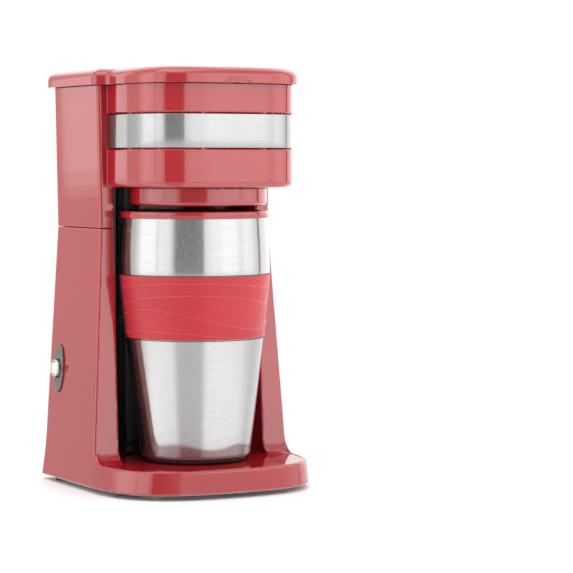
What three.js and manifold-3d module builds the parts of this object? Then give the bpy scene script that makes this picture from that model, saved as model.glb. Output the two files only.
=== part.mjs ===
// Single-serve drip coffee maker with its steel travel mug.
// Millimetres, +Z up, front towards -Y. The origin is on the table under the middle of the machine.
import * as THREE from "three";
import { mergeVertices } from "three/addons/utils/BufferGeometryUtils.js";
import Module from "manifold-3d";

const wasm = await Module();
wasm.setup();

// ---- Driving dimensions -------------------------------------------------------------------
const GAP = 0.3; // clearance between pieces that touch
const WALL = 2.5; // housing wall

const Z_BODY = 3; // underside of the body, on its feet
const Z_PLATFORM = 16.8; // where the mug stands
const Z_SEAM = 152.6; // joint between lower and upper housing
const Z_HEAD = 176.6; // underside of the brew head
const Z_RIM = 235.9; // top edge of the upper housing
const Z_LID = 245.4; // top of the lid

const Y_FRONT = -68.2; // front of the platform
const Y_REAR = 68.2; // back of the lid
const W_SEAM = 55.4; // half widths of the column at the seam and at its top
const W_TOP = 57;
const TAPER = 0.0615; // below the seam each side leans out by this much a millimetre
const FLARE = { z: 32, wide: 1.4 }; // and flares a little more towards the foot
const W_BASE = W_SEAM + TAPER * (Z_SEAM - Z_BODY) + FLARE.wide;
const Y_BACK_BASE = 67.4; // back wall at the foot and at the seam
const Y_BACK = 65.3;
const Y_COLUMN = -0.9; // front of the column
const BACK_CORNER = 5;

const HEAD = { w: 50.6, shoulder: -12, front: -63.4, power: 3.4 };
const BASE = { w: W_BASE, shoulder: -1.5, front: Y_FRONT, power: 2.9 };
const LID_HEAD = { w: 52.6, shoulder: -12, front: -68, power: 3.4 };

const BAY = { r: 47.3, y: -9 }; // the hollow that the mug stands in
const MUG_Y = -11.8;
const BASKET = { y: -24.4, rTop: 34, rBottom: 28 };

const HINGE = { y: 66.2, z: 238.4, pin: 0.9, knuckle: 2, lug: [30, 42] };
const LID_WALL = 2.6;

const FRONT_FOOT = { x: 51.5, y: -24.5, r: 6.2 };
const REAR_FOOT = { x: 57.6, y: 51, r: 4.8 };
const SCREWS = [[-42, 58], [42, 58], [-40, -44], [40, -44]];
const PLATE = { z0: Z_BODY + 0.2, z1: Z_BODY + 2.4 };
const BOSS = { r: 4, z: PLATE.z1 + GAP, pilot: 1.8, pilotTop: 11.5 };

const BUTTON = { y: 48.2, z: 68, hole: 5.7, cap: 5.3 };
const BUTTON_OVAL = { w: 6.4, h: 14.3, thick: 1.2 }; // half sizes of the plate round the button
const CORD = { x: -34, z: 22, hole: 4.2 }; // where the cord comes in through the back wall
const FAR = 90; // beyond the machine on every side, for cutting right through

// ---- Materials ----------------------------------------------------------------------------
const material = (color, roughness, metalness = 0) =>
  new THREE.MeshStandardMaterial({ color, roughness, metalness });
const RED_GLOSS = material("#b5343f", 0.2);
const RED_RUBBER = material("#c8434d", 0.65);
const BLACK_GLOSS = material("#141313", 0.2);
const BLACK_MATTE = material("#1b1a1a", 0.6);
const RUBBER = material("#151414", 0.85);
const STEEL = material("#c9cac8", 0.28, 1);
const CHROME = material("#dcdcdc", 0.08, 1);
const ALUMINIUM = material("#a9abad", 0.45, 1);
const GREY_PLASTIC = material("#8d8c88", 0.5);
const CLEAR_GREY = material("#b9bcbd", 0.3);
const SILICONE = material("#d9d4cb", 0.6);
const MESH_NYLON = material("#6b5a3c", 0.6);

// ---- Small tools --------------------------------------------------------------------------
const machine = new THREE.Group();

// A closed geometry as a solid that can be cut and joined.
function solid(geometry) {
  const bare = geometry.clone();
  for (const key of ["normal", "uv"]) bare.deleteAttribute(key);
  const merged = mergeVertices(bare, 1e-4);
  return new wasm.Manifold(
    new wasm.Mesh({
      numProp: 3,
      vertProperties: merged.attributes.position.array,
      triVerts: new Uint32Array(merged.index.array),
    }),
  );
}

function add(name, made, look, parent = machine) {
  let geometry = made;
  if (made.getMesh) {
    const mesh = made.getMesh();
    const points = new Float32Array(mesh.numVert * 3);
    for (let i = 0; i < mesh.numVert; i++)
      points.set(mesh.vertProperties.subarray(i * mesh.numProp, i * mesh.numProp + 3), i * 3);
    geometry = new THREE.BufferGeometry();
    geometry.setAttribute("position", new THREE.BufferAttribute(points, 3));
    geometry.setIndex(new THREE.BufferAttribute(mesh.triVerts, 1));
    geometry.computeVertexNormals();
  }
  const piece = new THREE.Mesh(geometry, look);
  piece.name = name;
  parent.add(piece);
}

const CYCLE = new THREE.Matrix4().makeBasis(
  new THREE.Vector3(0, 1, 0),
  new THREE.Vector3(0, 0, 1),
  new THREE.Vector3(1, 0, 0),
);

// Extrusions of a flat outline: drawn in (x, y) and raised in z, or drawn in (y, z) and run along x.
function raise(shape, z0, z1, options = {}) {
  const geometry = new THREE.ExtrudeGeometry(shape, {
    depth: z1 - z0,
    bevelEnabled: false,
    curveSegments: 6,
    ...options,
  });
  return geometry.translate(0, 0, z0);
}

function runAcross(shape, x0, x1) {
  return raise(shape, x0, x1).applyMatrix4(CYCLE);
}

function polygon(points) {
  return new THREE.Shape(points.map(([a, b]) => new THREE.Vector2(a, b)));
}

function box(x0, x1, y0, y1, z0, z1) {
  return solid(
    new THREE.BoxGeometry(x1 - x0, y1 - y0, z1 - z0).translate(
      (x0 + x1) / 2,
      (y0 + y1) / 2,
      (z0 + z1) / 2,
    ),
  );
}

// A round bar along "x", "y" or "z", from one end to the other.
function bar(axis, r, centre, from, to, sides = 20) {
  const geometry = new THREE.CylinderGeometry(r, r, to - from, sides);
  const middle = (from + to) / 2;
  if (axis === "x") geometry.rotateZ(Math.PI / 2).translate(middle, centre[0], centre[1]);
  if (axis === "y") geometry.translate(centre[0], middle, centre[1]);
  if (axis === "z") geometry.rotateX(Math.PI / 2).translate(centre[0], centre[1], middle);
  return solid(geometry);
}

// A turned piece about a vertical axis at (x, y), from a closed outline of [radius, z] points.
function turn(outline, x, y, sides = 40) {
  const geometry = new THREE.LatheGeometry(
    outline.map(([r, z]) => new THREE.Vector2(r, z)),
    sides,
  );
  return geometry.rotateX(Math.PI / 2).translate(x, y, 0);
}

// A round bar bent along a smooth curve through the points.
function bend(points, r, steps, halfSides = 4) {
  const section = new THREE.Shape();
  section.absarc(0, 0, r, 0, 2 * Math.PI);
  const path = new THREE.CatmullRomCurve3(points.map((p) => new THREE.Vector3(...p)));
  return new THREE.ExtrudeGeometry(section, {
    steps,
    extrudePath: path,
    curveSegments: halfSides,
    bevelEnabled: false,
  });
}

// An upright solid through several levels. wide(z) and deep(z) scale its outline at each of them.
function stack(shape, levels, wide, deep) {
  const steps = levels.length - 1;
  const geometry = raise(shape, 0, steps, { steps });
  const at = geometry.attributes.position;
  for (let i = 0; i < at.count; i++) {
    const z = levels[Math.round(at.getZ(i))];
    at.setXYZ(i, at.getX(i) * wide(z), at.getY(i) * deep(z), z);
  }
  return solid(geometry);
}

// An upright block whose top edge is drawn in: outline(inset) gives the same corners at any inset.
function chamferedBlock(outline, inset, z0, z1) {
  const geometry = raise(outline(0), z0, z1);
  const wide = outline(0).getPoints(6);
  const narrow = outline(inset).getPoints(6);
  const at = geometry.attributes.position;
  for (let i = 0; i < at.count; i++) {
    if (at.getZ(i) < (z0 + z1) / 2) continue;
    const here = new THREE.Vector2(at.getX(i), at.getY(i));
    const distances = wide.map((p) => p.distanceTo(here));
    const target = narrow[distances.indexOf(Math.min(...distances))];
    at.setXY(i, target.x, target.y);
  }
  return geometry;
}

// ---- Outlines seen from above -------------------------------------------------------------
// The bowed front shared by the foot, the head and the lid: a superellipse from shoulder to shoulder.
function bowedFront({ w, shoulder, front, power }, inset = 0, steps = 24) {
  const points = [];
  const wide = w - inset;
  const deep = shoulder - (front + inset);
  for (let i = 0; i <= steps; i++) {
    const a = (Math.PI * i) / steps;
    const x = -Math.sign(Math.cos(a)) * wide * Math.abs(Math.cos(a)) ** (2 / power);
    const y = shoulder - deep * Math.sin(a) ** (2 / power);
    points.push([x, y]);
  }
  return points;
}

// Front bow, straight sides and a back with round corners.
function bodyOutline(form, back, inset = 0) {
  const r = Math.max(BACK_CORNER - inset, 0.5);
  const x = form.w - inset - r;
  const y = back - inset - r;
  const shape = new THREE.Shape();
  bowedFront(form, inset).forEach(([a, b], i) => (i ? shape.lineTo(a, b) : shape.moveTo(a, b)));
  shape.absarc(x, y, r, 0, Math.PI / 2);
  shape.absarc(-x, y, r, Math.PI / 2, Math.PI);
  return shape;
}

function columnOutline(inset = 0, w = W_SEAM) {
  const r = Math.max(BACK_CORNER - inset, 0.5);
  const f = Math.max(2 - inset, 0.2);
  const x = w - inset;
  const y0 = Y_COLUMN + inset;
  const y1 = Y_BACK - inset;
  const shape = new THREE.Shape();
  shape.absarc(-x + f, y0 + f, f, Math.PI, 1.5 * Math.PI);
  shape.absarc(x - f, y0 + f, f, 1.5 * Math.PI, 2 * Math.PI);
  shape.absarc(x - r, y1 - r, r, 0, Math.PI / 2);
  shape.absarc(-x + r, y1 - r, r, Math.PI / 2, Math.PI);
  return shape;
}

// The lid: as wide as the column at the back, stepping in to the brew head through hollow corners.
function lidOutline(inset = 0) {
  const corner = Math.max(5 - inset, 0.4);
  const hollow = 5 + inset;
  const w = 60.3 - inset;
  const back = Y_REAR - inset;
  const step = -4.4 + inset;
  const neck = LID_HEAD.w - inset;
  const shape = new THREE.Shape();
  bowedFront(LID_HEAD, inset).forEach(([a, b], i) => (i ? shape.lineTo(a, b) : shape.moveTo(a, b)));
  shape.absarc(neck + hollow, step - hollow, hollow, Math.PI, Math.PI / 2, true);
  shape.absarc(w - corner, step + corner, corner, -Math.PI / 2, 0);
  shape.absarc(w - corner, back - corner, corner, 0, Math.PI / 2);
  shape.absarc(-w + corner, back - corner, corner, Math.PI / 2, Math.PI);
  shape.absarc(-w + corner, step + corner, corner, Math.PI, 1.5 * Math.PI);
  shape.absarc(-neck - hollow, step - hollow, hollow, Math.PI / 2, 0, true);
  return shape;
}

// The mug's bay: straight sides and a round back, open to the front.
function bayOutline(extra = 0) {
  const r = BAY.r + extra;
  const shape = new THREE.Shape();
  shape.moveTo(-r, -FAR);
  shape.lineTo(r, -FAR);
  shape.absarc(0, BAY.y, r, 0, Math.PI);
  return shape;
}

const bay = (extra, z0, z1) => solid(raise(bayOutline(extra), z0, z1, { curveSegments: 14 }));

// ---- Lower housing ------------------------------------------------------------------------
function halfWidth(z) {
  const low = Math.max(FLARE.z - z, 0) / (FLARE.z - Z_BODY);
  return W_SEAM + TAPER * (Z_SEAM - z) + FLARE.wide * low ** 2;
}

const backAt = (z) => Y_BACK + ((Y_BACK_BASE - Y_BACK) * (Z_SEAM - z)) / (Z_SEAM - Z_BODY);

// Seen from the side it is an L: a column over a platform, joined by a hollow curve.
function sideProfile(inset, bottom, top) {
  const foot = { y: -8.4, z: 29 }; // where the column's front meets the hollow curve
  const r = 12;
  const shape = new THREE.Shape();
  shape.moveTo(FAR, bottom);
  shape.lineTo(FAR, top);
  shape.lineTo(Y_COLUMN + inset, top);
  shape.lineTo(Y_COLUMN + inset, Z_SEAM);
  shape.lineTo(foot.y + inset, foot.z);
  shape.absarc(foot.y - r, Z_PLATFORM + r, r + inset, 0, -Math.PI / 2, true);
  shape.lineTo(-FAR, Z_PLATFORM - inset);
  shape.lineTo(-FAR, bottom);
  return shape;
}

// The housing's outer form, or with an inset the room inside it, which runs on past both ends.
function lowerForm(inset) {
  const beyond = inset ? 20 : 0;
  const [z0, z1] = [Z_BODY - beyond, Z_SEAM + beyond];
  const levels = [Z_BODY, 12, 22, FLARE.z, Z_SEAM];
  if (inset) levels.unshift(z0);
  if (inset) levels.push(z1);
  const wide = (z) => (halfWidth(z) - inset) / (W_BASE - inset);
  const deep = (z) => (backAt(z) - inset) / (Y_BACK_BASE - inset);
  const plan = stack(bodyOutline(BASE, Y_BACK_BASE, inset), levels, wide, deep);
  return plan.intersect(solid(runAcross(sideProfile(inset, z0, z1), -FAR, FAR)));
}

// A boss for each base screw. The two at the back are tied to the wall by a rib.
function screwBosses(shell) {
  const rib = 1.2;
  let made = shell;
  for (const [x, y] of SCREWS) {
    const behind = y > 0;
    const top = behind ? 16 : Z_PLATFORM - 1;
    made = made.add(bar("z", BOSS.r, [x, y], BOSS.z, top, 12));
    if (behind) made = made.add(box(x - rib, x + rib, y, Y_BACK_BASE - 1, BOSS.z, top));
    made = made.subtract(bar("z", BOSS.pilot, [x, y], BOSS.z - 1, BOSS.pilotTop, 8));
  }
  return made;
}

function lowerHousing() {
  const inside = lowerForm(WALL).subtract(bay(WALL, Z_PLATFORM - WALL, Z_SEAM + 30));
  const shell = lowerForm(0).subtract(bay(0, Z_PLATFORM, Z_SEAM + 5)).subtract(inside);
  return screwBosses(shell)
    .subtract(bar("x", BUTTON.hole, [BUTTON.y, BUTTON.z], -FAR, -50, 28))
    .subtract(bar("y", CORD.hole, [CORD.x, CORD.z], 55, FAR));
}
add("lower_housing", lowerHousing(), RED_GLOSS);

// ---- Upper housing with the brew head -----------------------------------------------------
const BAND = { z0: 199.2, z1: 219, deep: 1.4, thick: 1 };
const HEAD_BACK = 20; // how far the head's form runs back into the column
const OUTLET = 9; // radius of the hole under the brew basket

// The steel band and its seat run round the head from one side of the column to the other.
function bandRing(outer, inner, z0, z1, end) {
  const ring = solid(raise(bodyOutline(HEAD, HEAD_BACK, outer), z0, z1));
  return ring
    .subtract(solid(raise(bodyOutline(HEAD, HEAD_BACK, inner), z0 - 1, z1 + 1)))
    .subtract(box(-FAR, FAR, end, FAR, z0 - 1, z1 + 1));
}

function columnForm(inset, z0, z1) {
  const at = (z) => W_SEAM + ((W_TOP - W_SEAM) * (z - Z_SEAM)) / (Z_RIM - Z_SEAM);
  const wide = (z) => (at(z) - inset) / (W_SEAM - inset);
  return stack(columnOutline(inset), [z0, z1], wide, () => 1);
}

// Two lugs on the back wall, each bored for a hinge pin.
function hingeLugs(shell) {
  let made = shell;
  for (const side of [-1, 1]) {
    const [a, b] = HINGE.lug.map((x) => side * x).sort((p, q) => p - q);
    const web = box(a, b, Y_BACK - 1, HINGE.y + HINGE.knuckle, Z_RIM - 5, HINGE.z);
    const lug = web.add(bar("x", HINGE.knuckle, [HINGE.y, HINGE.z], a, b, 16));
    made = made.add(lug).subtract(bar("x", HINGE.pin + GAP, [HINGE.y, HINGE.z], a - 1, b + 1, 12));
  }
  return made;
}

// Two rooms open at the top: one behind for the reservoir, one in the head for the brew basket.
// The wall between them is notched for the lid's water channel.
function upperHousing() {
  const z0 = Z_SEAM + GAP;
  const divide = { front: 12.5, back: 17.6 };
  const column = columnForm(0, z0, Z_RIM).subtract(bay(0, z0 - 1, Z_HEAD));
  const head = solid(raise(bodyOutline(HEAD, HEAD_BACK), Z_HEAD, Z_RIM));
  const behind = columnForm(WALL, z0 - 1, Z_RIM + 1)
    .subtract(bay(WALL, z0 - 2, Z_HEAD + WALL))
    .subtract(box(-FAR, FAR, -FAR, divide.back, z0 - 2, Z_RIM + 2));
  const chamber = raise(bodyOutline(HEAD, divide.front + WALL, WALL), Z_HEAD + WALL, Z_RIM + 1);
  const shell = column
    .add(head)
    .subtract(behind)
    .subtract(solid(chamber))
    .subtract(box(-20, 20, divide.front - 0.5, divide.back + 0.4, Z_RIM - 3, Z_RIM + 1))
    .subtract(bandRing(-1, BAND.deep, BAND.z0, BAND.z1, Y_COLUMN))
    .subtract(bar("z", OUTLET, [0, BASKET.y], Z_HEAD - 1, Z_HEAD + 5));
  return hingeLugs(shell);
}
add("upper_housing", upperHousing(), RED_GLOSS);

function headBand() {
  const inner = BAND.deep - GAP;
  return bandRing(inner - BAND.thick, inner, BAND.z0 + GAP, BAND.z1 - GAP, Y_COLUMN - GAP);
}
add("head_band", headBand(), STEEL);

// ---- Drip housing under the head ----------------------------------------------------------
const DRIP = { r: 40, y: -17, z0: 166.2, edge: 1.2, wall: 2, outlet: 7 };

function dripHousing() {
  const { r, y, z0, edge, wall } = DRIP;
  const top = Z_HEAD - GAP;
  const outside = [[0, z0], [r - edge, z0], [r, z0 + edge], [r, top]];
  const inside = [[r - wall, top], [r - wall, z0 + wall], [0, z0 + wall]];
  const cup = solid(turn([...outside, ...inside], 0, y, 56));
  return cup.subtract(bar("z", DRIP.outlet, [0, MUG_Y], z0 - 1, z0 + wall + 1));
}
add("drip_housing", dripHousing(), RED_GLOSS);

// ---- Black lining of the bay --------------------------------------------------------------
function bayLining() {
  const z0 = Z_PLATFORM + GAP;
  const z1 = Z_HEAD - GAP;
  const thick = 1.6;
  const front = 6;
  return bay(-GAP, z0, z1)
    .subtract(bay(-GAP - thick, z0 - 1, z1 + 1))
    .subtract(box(-FAR, FAR, -FAR - 1, front, z0 - 1, z1 + 1));
}
add("bay_lining", bayLining(), BLACK_GLOSS);

// ---- Lid ----------------------------------------------------------------------------------
const LID = { z0: Z_RIM + GAP, chamferIn: 4.6, chamferUp: 3.4, edge: Z_LID - 3.4 };
const SCOOP = { wide: 8.5, deep: 1.8, high: 3.6 }; // thumb scoop in the middle of the front edge

// Two knuckles stand beside each of the housing's lugs, hung from the inside of the lid.
function lidKnuckles() {
  const [inner, outer] = HINGE.lug;
  const knuckles = [];
  for (const side of [-1, 1]) {
    for (const [from, to] of [[inner - 3.6, inner - 0.4], [outer + 0.4, outer + 3.6]]) {
      const [a, b] = [side * from, side * to].sort((p, q) => p - q);
      const round = bar("x", HINGE.knuckle, [HINGE.y, HINGE.z], a, b, 16);
      knuckles.push(round.add(box(a, b, HINGE.y - HINGE.knuckle, Y_REAR, HINGE.z, LID.edge + 0.2)));
    }
  }
  return knuckles;
}

// Room for the lugs and bores for the pins.
function clearHinge(lid) {
  const [inner, outer] = HINGE.lug;
  const front = HINGE.y - HINGE.knuckle - 1.4;
  let made = lid;
  for (const side of [-1, 1]) {
    const [a, b] = [side * (inner - 0.4), side * (outer + 0.4)].sort((p, q) => p - q);
    made = made
      .subtract(box(a, b, front, FAR, LID.z0 - 5, HINGE.z + HINGE.knuckle + 0.6))
      .subtract(bar("x", HINGE.pin + GAP, [HINGE.y, HINGE.z], a - 3, b + 3, 12));
  }
  return made;
}

function lidCover() {
  const skirt = solid(raise(lidOutline(), LID.z0, LID.edge));
  const top = solid(chamferedBlock(lidOutline, LID.chamferIn, LID.edge, Z_LID));
  const room = solid(raise(lidOutline(LID_WALL), LID.z0 - 1, LID.edge));
  // the back edge is eased so that it swings clear of the housing
  const ease = polygon([
    [HINGE.y, LID.z0 - 0.1],
    [FAR, LID.z0 - 0.1],
    [FAR, HINGE.z + 20],
    [Y_REAR + 0.05, HINGE.z],
  ]);
  let lid = skirt.add(top).subtract(room).subtract(solid(runAcross(ease, -FAR, FAR)));
  for (const knuckle of lidKnuckles()) lid = lid.add(knuckle);
  const scoop = new THREE.SphereGeometry(1, 20, 10).scale(SCOOP.wide, SCOOP.deep, SCOOP.high);
  return clearHinge(lid).subtract(solid(scoop.translate(0, Y_FRONT, LID.z0)));
}
add("lid_cover", lidCover(), RED_GLOSS);

// Water runs along a covered channel in the lid, from the riser to the spray head.
const RISER = { x: 0, y: 54, r: 4.2, bore: 2.6 };
const SPRAY = { low: 230.2, top: 234.3, r: 23, wall: 2.5, floor: 1.4, hole: 1.4, ring: 14, count: 8 };

function lidChannel() {
  const [z0, z1] = [SPRAY.top + GAP, LID.edge - GAP];
  const wall = 2;
  const w = 7;
  const [front, back] = [BASKET.y - 4, RISER.y + 7];
  return box(-w, w, front, back, z0, z1)
    .subtract(box(-w + wall, w - wall, front + wall, back - wall, z0 + wall, z1 + 1))
    .subtract(bar("z", 3.4, [RISER.x, RISER.y], z0 - 1, z0 + 3, 12))
    .subtract(bar("z", 4, [0, BASKET.y + 4], z0 - 1, z0 + 3, 12));
}
add("lid_water_channel", lidChannel(), BLACK_MATTE);

function sprayHead() {
  const { low, top, r } = SPRAY;
  const cup = solid(turn([[0, low], [r - 1, low], [r, low + 0.8], [r, top], [0, top]], 0, BASKET.y, 24));
  const hole = (x, y) => bar("z", SPRAY.hole, [x, y], low - 1, low + 3, 6);
  let head = cup.subtract(bar("z", r - SPRAY.wall, [0, BASKET.y], low + SPRAY.floor, top + 5, 24));
  for (let i = 0; i < SPRAY.count; i++) {
    const a = (2 * Math.PI * i) / SPRAY.count;
    head = head.subtract(hole(SPRAY.ring * Math.cos(a), BASKET.y + SPRAY.ring * Math.sin(a)));
  }
  return head.subtract(hole(0, BASKET.y));
}
add("spray_head", sprayHead(), BLACK_MATTE);

for (const [name, side] of [["left", -1], ["right", 1]]) {
  const [a, b] = [side * (HINGE.lug[0] - 3), side * (HINGE.lug[1] + 3)].sort((p, q) => p - q);
  add(`hinge_pin_${name}`, bar("x", HINGE.pin, [HINGE.y, HINGE.z], a, b, 12), STEEL);
}

// ---- Water path ---------------------------------------------------------------------------
const TANK = { w: 52, wall: 2, low: 155.6, step: 180.4, top: 232.4, front: 18.2, stepY: 42.2, back: 62.2 };
const VALVE = { x: -30, y: 52 };

// Seen from the side the reservoir is an L: its foot fills the column behind the bay.
function tankProfile(t, top) {
  return polygon([
    [TANK.front + t, TANK.step + t],
    [TANK.stepY + t, TANK.step + t],
    [TANK.stepY + t, TANK.low + t],
    [TANK.back - t, TANK.low + t],
    [TANK.back - t, top],
    [TANK.front + t, top],
  ]);
}

function reservoir() {
  const inside = TANK.w - TANK.wall;
  const floorHole = (r, x, y) => bar("z", r, [x, y], TANK.low - 1, TANK.low + 4, 12);
  return solid(runAcross(tankProfile(0, TANK.top), -TANK.w, TANK.w))
    .subtract(solid(runAcross(tankProfile(TANK.wall, TANK.top + 5), -inside, inside)))
    .subtract(floorHole(RISER.r + GAP, RISER.x, RISER.y))
    .subtract(floorHole(3.6, VALVE.x, VALVE.y));
}
add("water_reservoir", reservoir(), CLEAR_GREY);

function tube(r, bore, { x, y }, z0, z1, sides = 16) {
  return solid(turn([[bore, z0], [r, z0], [r, z1], [bore, z1], [bore, z0]], x, y, sides));
}

add("riser_tube", tube(RISER.r, RISER.bore, RISER, 146, 231.6), BLACK_MATTE);
add("riser_seal", tube(5.6, 3, RISER, 231.9, SPRAY.top), SILICONE);
add("inlet_valve", tube(3.3, 1.8, VALVE, 140, 159), GREY_PLASTIC);

// The boiler stands upright behind the bay: a cast U, a hose to each end and a heating rod inside it.
const BOILER = { y: 53, half: 30, top: 80, r: 6.4 };
const HOSE = { r: 4.2, end: BOILER.top + 0.4 };
const { y: by, half: bx } = BOILER;

function inletHose() {
  const from = [VALVE.x, VALVE.y, 139.6];
  return bend([from, [VALVE.x, VALVE.y, 120], [-bx - 1, by, 100], [-bx, by, HOSE.end]], HOSE.r, 8);
}

function riserHose() {
  const from = [RISER.x, RISER.y, 145.6];
  const over = [22, by, 108];
  return bend([from, [RISER.x, RISER.y, 128], over, [bx, by, 95], [bx, by, HOSE.end]], HOSE.r, 12);
}

// A U in the boiler's plane: straight to the shoulder, round by the turn and across at the bottom.
function uBend(half, top, shoulder, turned, bottom) {
  const right = [[turned[0], by, turned[1]], [half, by, shoulder], [half, by, top]];
  const left = right.map(([x, y, z]) => [-x, y, z]).reverse();
  return [...left, [0, by, bottom], ...right];
}

add("inlet_hose", inletHose(), SILICONE);
add("riser_hose", riserHose(), SILICONE);
add("boiler_tube", bend(uBend(bx, BOILER.top, 62, [24, 44], 34), BOILER.r, 16, 5), ALUMINIUM);
add("heating_rod", bend(uBend(19, 74, 62, [14, 51.5], 46.4), 3.2, 16), STEEL);
add("thermostat", bar("y", 8, [0, 66], 46.5, 52.5, 20), GREY_PLASTIC);
add("thermal_fuse", bar("x", 2.2, [50, 84], -8, 8, 12), STEEL);
add("boiler_bracket", box(-12, 12, 44.4, 46.2, 24, 90), STEEL);

// ---- Brew basket and its filter -----------------------------------------------------------
const BASKET_Z = { floor: Z_HEAD + WALL + GAP, top: 226 };
const RIM = { r: 35.6, thick: 2 }; // the basket's rim, which the filter's rim rests on
const SPOUT = { r: 5.4, bore: 3.4, long: 9 }; // the basket's outlet

function brewBasket() {
  const { rTop, rBottom, y } = BASKET;
  const { floor, top } = BASKET_Z;
  const end = floor - SPOUT.long;
  const t = RIM.thick;
  const outside = [[SPOUT.bore, end], [SPOUT.r, end], [SPOUT.r, floor], [rBottom, floor], [rTop, top - t]];
  const rim = [[RIM.r, top - t], [RIM.r, top], [rTop - t, top]];
  const inside = [[rBottom - t, floor + t], [SPOUT.bore, floor + t], [SPOUT.bore, end]];
  return solid(turn([...outside, ...rim, ...inside], 0, y, 32));
}
add("brew_basket", brewBasket(), BLACK_MATTE);

function meshFilter() {
  const [low, top] = [BASKET_Z.floor + 4.5, BASKET_Z.top + GAP];
  const rim = { r: RIM.r - 0.8, thick: 1.8 };
  const outside = [[0, low], [25, low], [31, top], [rim.r, top], [rim.r, top + rim.thick]];
  const inside = [[30, top + rim.thick], [24.2, low + 1], [0, low + 1]];
  return solid(turn([...outside, ...inside], 0, BASKET.y, 32));
}
add("mesh_filter", meshFilter(), MESH_NYLON);

function filterTab() {
  const z0 = BASKET_Z.top + 2.4;
  return box(-6, 6, BASKET.y - 34, BASKET.y - 31.2, z0, z0 + 4.2);
}
add("filter_tab", filterTab(), BLACK_MATTE);

// ---- Switch on the left side --------------------------------------------------------------
// The side wall leans, so the button's plate leans with it. In this group the wall is the plane x = 0.
const buttonGroup = new THREE.Group();
buttonGroup.position.set(-halfWidth(BUTTON.z), BUTTON.y, BUTTON.z);
buttonGroup.rotation.y = Math.atan(TAPER);
machine.add(buttonGroup);

function ovalPlate() {
  const { w, h, thick } = BUTTON_OVAL;
  const shape = new THREE.Shape();
  shape.absellipse(0, 0, w, h, 0, 2 * Math.PI);
  const hole = new THREE.Path();
  hole.absarc(0, 0, BUTTON.hole, 0, 2 * Math.PI, true);
  shape.holes.push(hole);
  const plate = raise(shape, 0, thick, { curveSegments: 12 });
  return plate.applyMatrix4(CYCLE).translate(-GAP - thick, 0, 0);
}

// Turned pieces of the button, about the line that it travels on. Outline points are [radius, x].
function onAxle(outline, sides = 24) {
  const geometry = new THREE.LatheGeometry(outline.map(([r, h]) => new THREE.Vector2(r, h)), sides);
  return geometry.rotateZ(-Math.PI / 2);
}

// The switch stands behind the button's full travel, on two arms that reach the wall.
function switchBody() {
  const [front, back] = [5.8, 18.8];
  const [w, h, arm] = [7, 10, 2.4];
  return box(front, back, -w, w, -h, h)
    .add(box(WALL + GAP, front + 1, -w, w, -h, -h + arm))
    .add(box(WALL + GAP, front + 1, -w, w, h - arm, h));
}

add("button_plate", ovalPlate(), GREY_PLASTIC, buttonGroup);
// The cap is dished in front, and the lens lies in the dish.
function buttonCap() {
  const r = BUTTON.cap;
  const [dish, face] = [-3, -4.2];
  const rim = [[r - 1.4, dish], [r - 1.4, face + 0.3], [r - 0.7, face], [r, face + 0.6]];
  return onAxle([[0, dish], ...rim, [r, 3], [0, 3]]);
}

function buttonLens() {
  const r = BUTTON.cap - 1.7;
  const [back, face] = [-3.3, -3.8];
  return onAxle([[0, face], [r - 0.5, face], [r, face + 0.3], [r, back], [0, back]]);
}

add("button_cap", buttonCap(), CHROME, buttonGroup);
add("button_lens", buttonLens(), CLEAR_GREY, buttonGroup);
add("switch_body", switchBody(), BLACK_MATTE, buttonGroup);

// ---- Wiring that stays inside -------------------------------------------------------------
const WIRE = { r: 1.4, steps: 12, halfSides: 3 };

function switchWire() {
  const fromSwitch = [[-44, BUTTON.y, 56.5], [-44, 50, 40]];
  const toCord = [[-38, 52, 28], [CORD.x, 56, CORD.z + 1], [CORD.x, 62, CORD.z]];
  return bend([...fromSwitch, ...toCord], WIRE.r, WIRE.steps, WIRE.halfSides);
}

function heaterWire() {
  const fromSwitch = [[-47, 50.5, 81.5], [-46, 50.5, 92], [-36, 44, 98]];
  const toRod = [[-24, 50, 90], [-19, by, 74.6]];
  return bend([...fromSwitch, ...toRod], WIRE.r, WIRE.steps, WIRE.halfSides);
}

// Lines the cord's hole in the back wall.
function cordBushing() {
  const r = CORD.hole - GAP;
  const [bore, half] = [2, 5];
  const outline = [[bore, -half], [r, -half], [r, half], [bore, half], [bore, -half]];
  return turn(outline, 0, 0, 20).rotateX(Math.PI / 2).translate(CORD.x, 62.9, CORD.z);
}

add("switch_wire", switchWire(), RUBBER);
add("heater_wire", heaterWire(), RUBBER);
add("cord_bushing", solid(cordBushing()), RUBBER);

// ---- Bottom -------------------------------------------------------------------------------
const SLOTS = { x: 16, wide: 2.5, from: 2, every: 6, count: 4 }; // cooling slots in the base plate

function basePlate() {
  let plate = solid(raise(bodyOutline(BASE, Y_BACK_BASE, WALL + 0.8), PLATE.z0, PLATE.z1));
  for (const at of SCREWS) {
    plate = plate
      .subtract(bar("z", 3.6, at, Z_BODY - 1, Z_BODY + 1.4, 16))
      .subtract(bar("z", 1.9, at, Z_BODY, PLATE.z1 + 1, 12));
  }
  for (let i = 0; i < SLOTS.count; i++) {
    const y = SLOTS.from + SLOTS.every * i;
    plate = plate.subtract(box(-SLOTS.x, SLOTS.x, y, y + SLOTS.wide, 0, PLATE.z1 + 1));
  }
  return plate;
}
add("base_plate", basePlate(), BLACK_MATTE);

function foot(x, y, r) {
  const top = PLATE.z0 - GAP;
  return turn([[0, 0], [r - 1.2, 0], [r - 0.4, 0.8], [r, top], [0, top]], x, y, 24);
}

for (const [place, side] of [["left", -1], ["right", 1]]) {
  const [rear, front] = [REAR_FOOT, FRONT_FOOT];
  add(`foot_rear_${place}`, foot(side * rear.x, rear.y, rear.r), RUBBER);
  add(`foot_front_${place}`, foot(side * front.x, front.y, front.r), RUBBER);
}

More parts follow.
